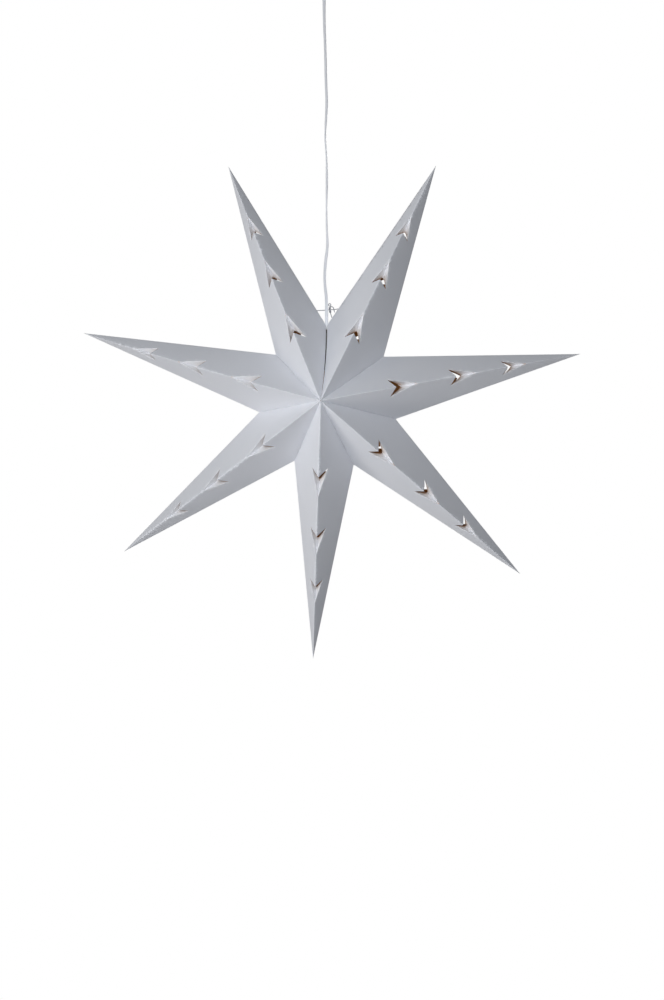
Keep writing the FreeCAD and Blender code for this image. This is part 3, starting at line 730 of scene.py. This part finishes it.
# %% Pressing in both flaps of a cut
def pressed_corner(left, right, n):
    """Where the corner that both flaps of cut n share is pressed to."""
    slit, end, far = left.cut_places(n)
    slit_at = left.shaped(slit)
    fold_at = left.shaped(far)
    to_left = left.shaped(end) - fold_at
    to_right = right.shaped(end) - fold_at
    across = to_left.cross(to_right).normalized()
    depth = 1 + PRESSED[left.number - 1]
    pressed = slit_at - across * (depth * across.dot(slit_at - fold_at))
    return pressed - left.ridge * (SPRUNG[left.number - 1] * MM)


def add_flap(bm, panel, n, pressed, near_cut):
    """Press in one half of cut n, as a curved triangle."""
    slit, end, far = panel.cut_places(n)
    fold_at = panel.shaped(far)
    crease = (panel.shaped(end) - fold_at).normalized()
    over = panel.normal.cross(crease)
    if over.dot(panel.shaped(slit) - fold_at) < 0:
        over.negate()
    backwards = crease.cross(over).dot(panel.normal) < 0
    start = crease_start(end, far)
    count = len(spaced(start, far))
    columns = []
    for i in range(count + 1):
        hinge = panel.shaped(far + (start - far) * (i / count))
        column = []
        for place, near in flap_column(panel, hinge, over, pressed, i / count):
            vertex = bm.verts.new(place)
            # painted bounce light: FLAP_MARK marks a flap vertex, and the painted share grows
            # towards the free edge
            vertex[near_cut] = FLAP_MARK + min(FLAP_BOUNCE_PAINT_MOST, near * FLAP_BOUNCE_PAINT[panel.number - 1])
            column.append(vertex)
        columns.append(column)
    for one, other in zip(columns, columns[1:]):
        for j in range(len(one) - 1):
            corner = [one[j], other[j], other[j + 1], one[j + 1]]
            bm.faces.new(corner[::-1] if backwards else corner)


# %% [markdown]
# ## Card finish
# The card is matt and white, with the faint cloudiness and tooth of uncoated
# board.  Its inner side is coloured brown.  Daylight comes through thin card, so
# the inside isn't black but a warm dim brown, which shows in the cuts.  Sending
# light through the card takes many samples, so the brown side gets a faint painted
# glow instead, and a colour ramp paints bounce light on each flap: paler than the
# panels, and warming to brown towards its free edge.

# %% White side
finish = finish_named("white_card")
cloud = finish.noise(45 * MM, detail=4.0)
tooth = finish.noise(0.9 * MM, detail=3.0)
painted_bounce_share = finish.node("Attribute", {"attribute_name": "near_cut"}, output="Fac")
paper = finish.blend(cloud, rgb(0.745, 0.758, 0.80), rgb(0.79, 0.797, 0.83))
# Painted bounce light on a flap: paler than the panels at its crease, warming to brown towards its
# free edge.
PAINTED_BOUNCE_RAMP = (
    (0.0, rgb(0.87, 0.875, 0.90)),
    (0.4, rgb(0.84, 0.79, 0.76)),
    (0.9, rgb(0.66, 0.42, 0.26)),
)
flap_painted_bounce = finish.node("ValToRGB", {"stops": PAINTED_BOUNCE_RAMP}, {0: painted_bounce_share - FLAP_MARK})
card_white = surface(
    finish,
    # flaps take the painted bounce light colour in place of the plain paper
    Base_Color=finish.blend(painted_bounce_share * (1 / FLAP_MARK), paper, flap_painted_bounce),
    Roughness=0.62 + 0.2 * tooth,
    Normal=finish.bump(tooth, 0.03 * MM, 0.6),
)

# %% Brown side
finish = finish_named("brown_card_inside_painted_glow")
fleck = finish.noise(3 * MM, detail=4.0)
card_brown_painted_glow = surface(
    finish,
    Base_Color=finish.blend(fleck, rgb(0.56, 0.29, 0.12), rgb(0.68, 0.38, 0.17)),
    Roughness=0.75 + 0.1 * fleck,
    Normal=finish.bump(fleck, 0.05 * MM, 0.5),
    # painted glow: a faint warm emission stands in for daylight coming through the card
    Emission_Color=finish.blend(fleck, rgb(0.42, 0.22, 0.06), rgb(0.54, 0.30, 0.09)),
    Emission_Strength=0.035,
)

# %% [markdown]
# ## The seven points
# A point is first one skin: four panels and their flaps, merged at the folds.
# Then it gets the card's thickness.  Blender's Solidify throws spikes where
# flaps meet at a steep angle, so each vertex is set back by hand, and no further
# than one and a half times the card.

# %% The card's thickness
CARD = 0.5 * MM
LEAST_LEAN = 1 / 1.5         # a lean smaller than this would set a vertex back too far


def thick_card(bm, name):
    """Give a skin the card's thickness, with the brown side inwards."""
    bm.normal_update()
    skin = list(bm.faces)
    rim = [edge.link_loops[0] for edge in bm.edges if len(edge.link_faces) == 1]
    rim = [(loop.vert, loop.link_loop_next.vert) for loop in rim]
    under = {}
    for vertex in list(bm.verts):
        leans = [vertex.normal.dot(face.normal) for face in vertex.link_faces]
        back = CARD / max(sum(leans) / len(leans), LEAST_LEAN)
        under[vertex] = bm.verts.new(vertex.co - vertex.normal * back)
    for face in skin:
        inner = bm.faces.new([under[vertex] for vertex in reversed(face.verts)])
        inner.material_index = 1
    for start, end in rim:
        bm.faces.new((end, start, under[start], under[end]))
    return mesh_from(bm, name)


# %% Make the seven points
# How far each panel bows, in mm: front left, front right, back left, back right.
BOWS = (
    (0.3, -0.2, 0.2, 0.3), (-0.2, 0.3, 0.2, -0.2), (0.3, -0.3, -0.2, 0.3), (-0.3, 0.3, 0.3, 0.2),
    (0.3, 0.2, -0.3, 0.2), (0.3, -0.2, 0.2, -0.2), (-0.2, 0.3, 0.3, 0.2),
)
# How far each front ridge sways from a straight line, in mm, anticlockwise.
SWAYS = (1.1, 0.0, 0.0, -1.0, 0.0, 0.0, 2.8)
MERGED = 0.02 * MM           # vertices of two panels this near are one


def side_panels(number, side, bows):
    """The left and the right panel of a point's front or back, folded up."""
    tip, first, second = corners[number]
    outward = (tip - centre).normalized()
    anticlockwise = Vector((-outward.z, 0, outward.x))
    ridge_sway = anticlockwise * (SWAYS[number - 1] * MM if side < 0 else 0.0)
    left = Panel(number, side, tip, first, bows[0] * MM, ridge_sway, number == 2)
    right = Panel(number, side, tip, second, bows[1] * MM, ridge_sway, number == 1)
    bisector = (left.normal + right.normal).normalized()
    for panel in (left, right):
        panel.fold_up(math.acos(left.normal.dot(bisector)))
    return left, right


def star_point(number):
    """All the card of one point, as a skin with its thickness."""
    bm = bmesh.new()
    # how strongly each flap vertex gets the painted bounce light
    near_cut = bm.verts.layers.float.new("near_cut")
    for side, bows in ((-1, BOWS[number - 1][:2]), (1, BOWS[number - 1][2:])):
        left, right = side_panels(number, side, bows)
        for panel in (left, right):
            add_panel(bm, panel, panel_outline(panel))
        for n in range(len(CUTS)):
            pressed = pressed_corner(left, right, n)
            for panel in (left, right):
                add_flap(bm, panel, n, pressed, near_cut)
    bmesh.ops.remove_doubles(bm, verts=bm.verts, dist=MERGED)
    return thick_card(bm, "card_point_%d" % number)


for number in range(1, POINTS + 1):
    piece("card_point_%d" % number, star_point(number), "star",
          [card_white, card_brown_painted_glow], ["point_%d" % number])

# %% [markdown]
# ## The tie string
# The star is a folded fan whose two free edges meet at the top, round the cord.
# A thin three-ply string through both edges ties them together.  Each ply is
# wound round the string's route, because the twist is what makes it a string.

# %% String finish
finish = finish_named("grey_string")
fuzz = finish.noise(0.5 * MM, detail=3.0)
string_grey = surface(
    finish,
    Base_Color=finish.blend(fuzz, rgb(0.15, 0.15, 0.18), rgb(0.36, 0.37, 0.42)),
    Roughness=0.85 + 0.1 * fuzz,
    Normal=finish.bump(fuzz, 0.06 * MM),
)

# %% String maker
STRING_R = 0.68 * MM
PLY_R = 0.34 * MM
PLY_PITCH = 3.2 * MM         # string for one turn of a ply
PLY_SIDES = 6
PLY_SIDE = Vector((0.3, 0.9, 0.2))   # no stretch of the string runs this way
PLIES = 3


def add_string(bm, line, closed=False):
    """Wind three plies round a line of points."""
    total = sum((b - a).length for a, b in zip(line, line[1:] + line[:1]))
    turns = max(1, round(total / PLY_PITCH)) * math.tau
    for ply in range(PLIES):
        wound = []
        gone = 0.0
        across = heading(line, 0, closed).orthogonal()
        for k, place in enumerate(line):
            along = heading(line, k, closed)
            across = (across - along * across.dot(along)).normalized()
            angle = turns * gone / total + math.tau * ply / PLIES
            swing = Matrix.Rotation(angle, 3, along) @ across
            wound.append(place + swing * (STRING_R - PLY_R))
            gone += (line[(k + 1) % len(line)] - place).length
        sweep(bm, wound, circle(PLY_R, PLY_SIDES), side=PLY_SIDE, closed=closed)


# %% [markdown]
# Two strands run from the knot through a hole in each point, where a small knot
# stops them, and two ends hang loose.  The knot is drawn as a trefoil, the
# simplest closed line that truly crosses over itself, with a bow loop above it
# and one below.

# %% Strands and loose ends
KNOT = centre + Vector((4.8, 4.8, 149.0)) * MM
TIE_DROP = 2.0 * MM          # the strands leave this far below the knot's middle
TIES_UP = (26.7 * MM, 30.4 * MM)     # from the notch along the side edges to the holes
STRAND_SAG = 0.3 * MM
STRING_INSIDE = 4.0 * MM     # a strand runs on this far behind its hole, to its stop
STOP_R = 1.6 * MM
UPPER_END = ((0.6, 0.6, 2.6), (3.9, 1.2, 3.9), (6.6, 1.2, -0.4), (7.4, 1.0, -5.8))
LOWER_END = ((0.6, 0.6, -1.6), (0.7, 0.8, -7.2), (3.2, 0.8, -14.4))


def tie_hole(tip, seam_notch, up):
    return seam_notch + (tip - seam_notch).normalized() * up


bm = bmesh.new()
tied = KNOT - Vector((0, 0, TIE_DROP))
holes = (tie_hole(corners[1][0], corners[1][2], TIES_UP[0]),
         tie_hole(corners[2][0], corners[2][1], TIES_UP[1]))
for hole in holes:
    level = Vector((hole.x - tied.x, 0, hole.z - tied.z)).normalized()
    stop = hole + level * STRING_INSIDE
    low = tied.lerp(hole, 0.5) - Vector((0, 0, STRAND_SAG))
    add_string(bm, route_line([tied, low, hole, stop], steps=24))
    at_stop = Matrix.Translation(stop)
    bmesh.ops.create_icosphere(bm, subdivisions=2, radius=STOP_R, matrix=at_stop)
for end in (UPPER_END, LOWER_END):
    add_string(bm, route_line([KNOT + Vector(place) * MM for place in end], steps=16))
piece("tie_string_plies", mesh_from(bm, "tie_string_plies"), "star",
      [string_grey], ["tie_string"])

# %% Knot and loops
KNOT_R = 1.35 * MM
KNOT_DEEP = 1.2              # depth and height of the trefoil, against its width
KNOT_TALL = 1.9
KNOT_STEPS = 72
LOOPS = ((0.0, 5.9, 2.0), (0.6, -4.9, 1.4))   # right of the knot, above it, radius, in mm
LOOP_WIDE = 0.85             # width and depth of a loop, against its height
LOOP_DEEP = 0.35

angles = [math.tau * k / KNOT_STEPS for k in range(KNOT_STEPS)]
trefoil = []
for t in angles:
    bend = Vector((math.sin(t) + 2 * math.sin(2 * t), -KNOT_DEEP * math.sin(3 * t),
                   KNOT_TALL * (math.cos(t) - 2 * math.cos(2 * t))))
    trefoil.append(KNOT + bend * KNOT_R / 3)

bm = bmesh.new()
add_string(bm, trefoil, closed=True)
for aside, above, radius in LOOPS:
    middle = KNOT + Vector((aside, 0, above)) * MM
    ring = [Vector((LOOP_WIDE * math.sin(t), LOOP_DEEP * math.sin(t), -math.cos(t))) for t in angles]
    add_string(bm, [middle + out * radius * MM for out in ring], closed=True)
piece("tie_knot_plies", mesh_from(bm, "tie_knot_plies"), "star",
      [string_grey], ["tie_knot"])

# %% [markdown]
# ## The fitted parts
# The ceiling cup, the lamp holder and the bulb keep their CAD shapes: they are
# turned and moulded parts, which CAD already gives exactly.  Each gets a finish
# with a little wear or grain instead of a flat colour.

# %% Finishes of the fitted parts
METAL = {"Metallic": 1.0}
GLAZED = {"Coat_Weight": 0.4}

# Darker and lighter colour, roughness, size of the spots in mm, other sockets.
FITTED = {
    "core_insulation": ((0.24, 0.15, 0.09), (0.32, 0.21, 0.13), 0.40, 3.0, {}),
    "black_plastic": ((0.03, 0.028, 0.027), (0.06, 0.055, 0.05), 0.35, 6.0, {}),
    "cream_ceramic": ((0.74, 0.70, 0.61), (0.82, 0.79, 0.72), 0.22, 4.0, GLAZED),
    "cup_plastic": ((0.80, 0.81, 0.82), (0.84, 0.85, 0.86), 0.42, 2.0, {}),
    "terminal_nylon": ((0.70, 0.69, 0.63), (0.78, 0.77, 0.72), 0.45, 3.0, {}),
    "brass": ((0.62, 0.45, 0.20), (0.76, 0.60, 0.31), 0.28, 2.0, METAL),
    "nickel": ((0.62, 0.61, 0.59), (0.74, 0.73, 0.70), 0.22, 2.0, METAL),
    "solder": ((0.50, 0.50, 0.50), (0.66, 0.66, 0.65), 0.42, 1.0, METAL),
    "zinc_steel": ((0.56, 0.58, 0.60), (0.70, 0.71, 0.72), 0.32, 2.0, METAL),
    "black_glass": ((0.015, 0.015, 0.018), (0.04, 0.04, 0.045), 0.10, 2.0, {}),
    "filament_yellow": ((0.80, 0.56, 0.12), (0.90, 0.70, 0.22), 0.55, 0.8, {}),
}


def fitted_finish(name, dark, light, roughness, grain, more):
    """A finish that drifts between two near colours, over spots of this size."""
    finish = finish_named(name)
    spots = finish.noise(grain * MM, detail=3.0)
    return surface(
        finish,
        Base_Color=finish.blend(spots, rgb(*dark), rgb(*light)),
        Roughness=roughness + 0.12 * spots,
        Normal=finish.bump(spots, 0.01 * MM, 0.5),
        **more,
    )


finishes = {name: fitted_finish(name, *row) for name, row in FITTED.items()}
glass = finish_named("clear_glass")
finishes["clear_glass"] = surface(
    glass,
    Base_Color=rgb(0.97, 0.98, 0.98),
    Roughness=0.01 + 0.03 * glass.noise(15 * MM),
    Transmission_Weight=1.0,
    IOR=1.46,
)
finishes.update(white_card=card_white, white_cord=cord_white, grey_string=string_grey)

for name, node in frame["nodes"].items():
    slot = node.data.materials[0].name.split(".")[0]
    node.data.materials[0] = finishes[slot]
print(len(frame["nodes"]), "CAD nodes have one of", len(finishes), "finishes")

# %% [markdown]
# ## Stage and light
# The picture is a cut-out on white.  The white background is only what the
# camera and shiny or clear things see: the light that it throws on the star is
# dim, so that the lamps can model the folds.

# %% White room
DIM = rgb(0.088, 0.09, 0.094)
WHITE = rgb(1, 1, 1)

bpy.context.scene.view_settings.view_transform = "Standard"
world = bpy.data.worlds.new("white_room")
bpy.context.scene.world = world


def seen_bare(finish):
    """1 where the camera or a shiny or clear thing looks, 0 for light on the star."""
    rays = ("Is Camera Ray", "Is Glossy Ray", "Is Transmission Ray")
    camera_ray, glossy_ray, clear_ray = (finish.node("LightPath", output=ray) for ray in rays)
    return camera_ray.at_least(glossy_ray).at_least(clear_ray)


finish = Finish(world)
colour = finish.blend(seen_bare(finish), DIM, WHITE)
ground = finish.node("Background", sockets={"Color": colour, "Strength": 1.0})
finish.node("OutputWorld", sockets={"Surface": ground})
print("white room has", len(finish.tree.nodes), "nodes")

# %% [markdown]
# A small soft lamp close in front lights the middle more than the tips, and two
# larger ones fill in from the left, which is why each fold has a light and a dark
# side.  One more stands behind.

# %% Lamps
# Name, place from the star's centre, size, watts, colour.
LAMPS = (
    ("lamp_in_front", (-0.1, -1.2, 0.1), 0.4, 7.9, (0.93, 0.96, 1.0)),
    ("lamp_left", (-2.0, -1.8, 0.4), 1.2, 9.8, (1.0, 1.0, 0.97)),
    ("lamp_low_left", (-1.8, -1.4, -1.2), 1.0, 13.3, (1.0, 0.98, 0.96)),
    ("lamp_behind", (0.6, 2.4, 0.8), 1.4, 30, (0.98, 0.99, 1.0)),
)


def softbox(name, place, size, watts, colour):
    """A square lamp that faces the star."""
    data = bpy.data.lights.new(name, "AREA")
    data.size = size
    data.energy = watts
    data.color = colour
    lamp = bpy.data.objects.new(name, data)
    lamp.location = centre + Vector(place)
    lamp.rotation_euler = (centre - lamp.location).to_track_quat("-Z", "Y").to_euler()
    lamp.visible_camera = False
    bpy.context.scene.collection.objects.link(lamp)
    print(name, "at", tuple(round(x, 2) for x in lamp.location))


for row in LAMPS:
    softbox(*row)

# %% [markdown]
# The floor is a pale disc well below, which takes the shadow.  It looks paler
# towards its rim, so that it runs out into the white instead of ending in a hard
# edge.

# %% Floor
FLOOR_DROP = 1.5             # star's centre to the floor
FLOOR_R = 1.1
FLOOR_SIDES = 96

bm = bmesh.new()
bmesh.ops.create_circle(bm, cap_ends=True, segments=FLOOR_SIDES, radius=FLOOR_R)
bmesh.ops.translate(bm, verts=bm.verts, vec=centre - Vector((0, 0, FLOOR_DROP)))
floor = bpy.data.objects.new("floor", mesh_from(bm, "floor"))
bpy.context.scene.collection.objects.link(floor)

finish = finish_named("pale_floor")
level = finish.node("VectorMath", {"operation": "MULTIPLY"}, {0: finish.place(), 1: (1, 1, 0)})
away = finish.node("VectorMath", {"operation": "LENGTH"}, {0: level}, output="Value")
to_rim = away * (1 / FLOOR_R)
pale = finish.blend(to_rim ** 2, rgb(0.34, 0.34, 0.34), rgb(0.72, 0.72, 0.72))
floor.data.materials.append(surface(
    finish,
    Base_Color=rgb(0.86, 0.86, 0.87),
    Roughness=0.8,
    Emission_Color=finish.blend(seen_bare(finish), rgb(0, 0, 0), pale),
    Emission_Strength=1.0,
))
